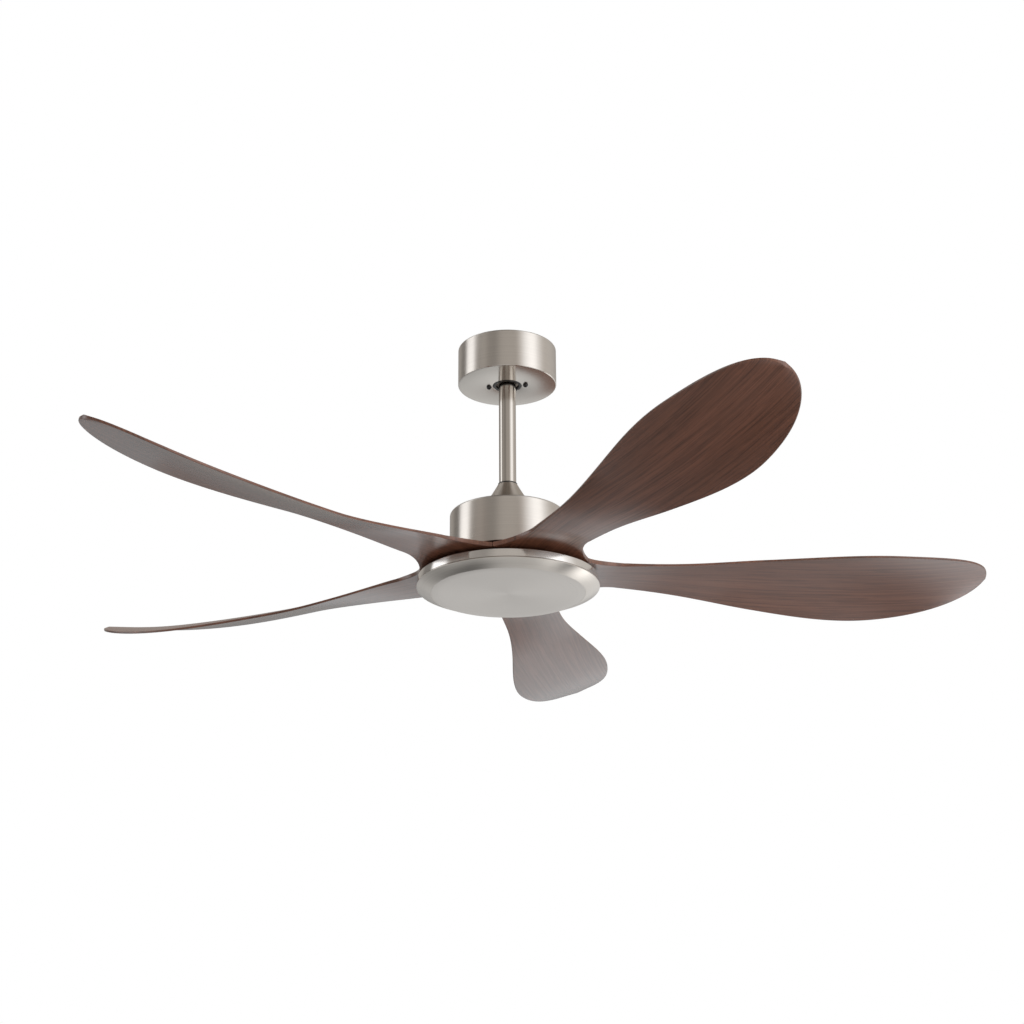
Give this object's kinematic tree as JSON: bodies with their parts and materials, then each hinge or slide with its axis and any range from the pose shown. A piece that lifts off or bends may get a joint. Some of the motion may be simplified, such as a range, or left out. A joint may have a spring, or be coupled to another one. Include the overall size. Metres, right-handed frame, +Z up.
{
  "type": "ceiling fan",
  "caption": "Ceiling fan with twisted, curled wooden blades, a drum motor housing on a short downrod, a round canopy and a flat cover disc below.",
  "frame": {"origin": "on the ceiling plane, on the fan's axis, at the top face of the mounting bracket", "axes": "+Z up into the ceiling; +X along the line through the bracket's slots and the canopy's two screws"},
  "size_m": [1.4525, 1.3963, 0.409],
  "materials": {
    "brushed_nickel": "brushed, satin",
    "polished_nickel": "polished",
    "cast_zinc": "cast, plated",
    "zinc_plate": "zinc plated",
    "machined_steel": "machined",
    "black_screw": "black oxide",
    "black_rubber": "matte",
    "black_plastic": "matte",
    "pale_plastic": "matte",
    "green_screw": "satin",
    "lamination": "varnished",
    "copper_wire": "enamelled",
    "magnet": "coated",
    "black_paint": "satin",
    "circuit_board": "solder mask",
    "walnut": "semi-gloss lacquer"
  },
  "bodies": {
    "ceiling_mount": {"ceiling_bracket": "zinc_plate", "canopy": "brushed_nickel", "canopy_ring": "black_rubber", "canopy_screws": "black_screw", "receiver": "black_plastic", "terminal_block": "pale_plastic", "ground_screw": "green_screw"},
    "hanging_frame": {"hanger_ball": "cast_zinc", "ball_cross_pin": "machined_steel", "ball_set_screw": "black_screw", "downrod": "brushed_nickel", "motor_lead": "black_plastic", "lead_plug": "pale_plastic", "coupling_cover": "brushed_nickel", "cover_grommet": "black_rubber", "shaft_coupling": "machined_steel", "clevis_pin": "machined_steel", "cotter_pin": "machined_steel", "coupling_set_screws": "black_screw", "motor_housing": "brushed_nickel", "housing_screws": "machined_steel", "motor_shaft": "machined_steel", "stator_core": "lamination", "windings": "copper_wire", "upper_bearing_inner": "machined_steel", "lower_bearing_inner": "machined_steel", "trim_pan": "polished_nickel", "support_plate": "zinc_plate", "shaft_washer": "machined_steel", "shaft_nut": "machined_steel", "driver_board": "circuit_board", "ring_posts": "machined_steel", "ring_screws": "machined_steel", "bevel_ring": "brushed_nickel", "cover_disc": "brushed_nickel", "disc_clips": "machined_steel"},
    "rotor": {"upper_bearing_outer": "machined_steel", "lower_bearing_outer": "machined_steel", "bearing_balls": "machined_steel", "rotor_top_cover": "machined_steel", "rotor_ring": "black_paint", "magnets": "magnet", "rotor_flange": "black_paint", "blade_gaskets": "black_rubber", "blade_screws": "machined_steel", "blade_1": "walnut", "blade_2": "walnut", "blade_3": "walnut", "blade_4": "walnut", "blade_5": "walnut"}
  },
  "joints": [
    {"name": "ball_tilt", "type": "hinge", "parent": "ceiling_mount", "child": "hanging_frame", "pos_m": [0, 0, -0.036], "axis": [1, 0, 0], "range_deg": [-8, 8]},
    {"name": "fan_spin", "type": "hinge", "parent": "hanging_frame", "child": "rotor", "pos_m": [0, 0, -0.371], "axis": [0, 0, -1], "continuous": true}
  ]
}
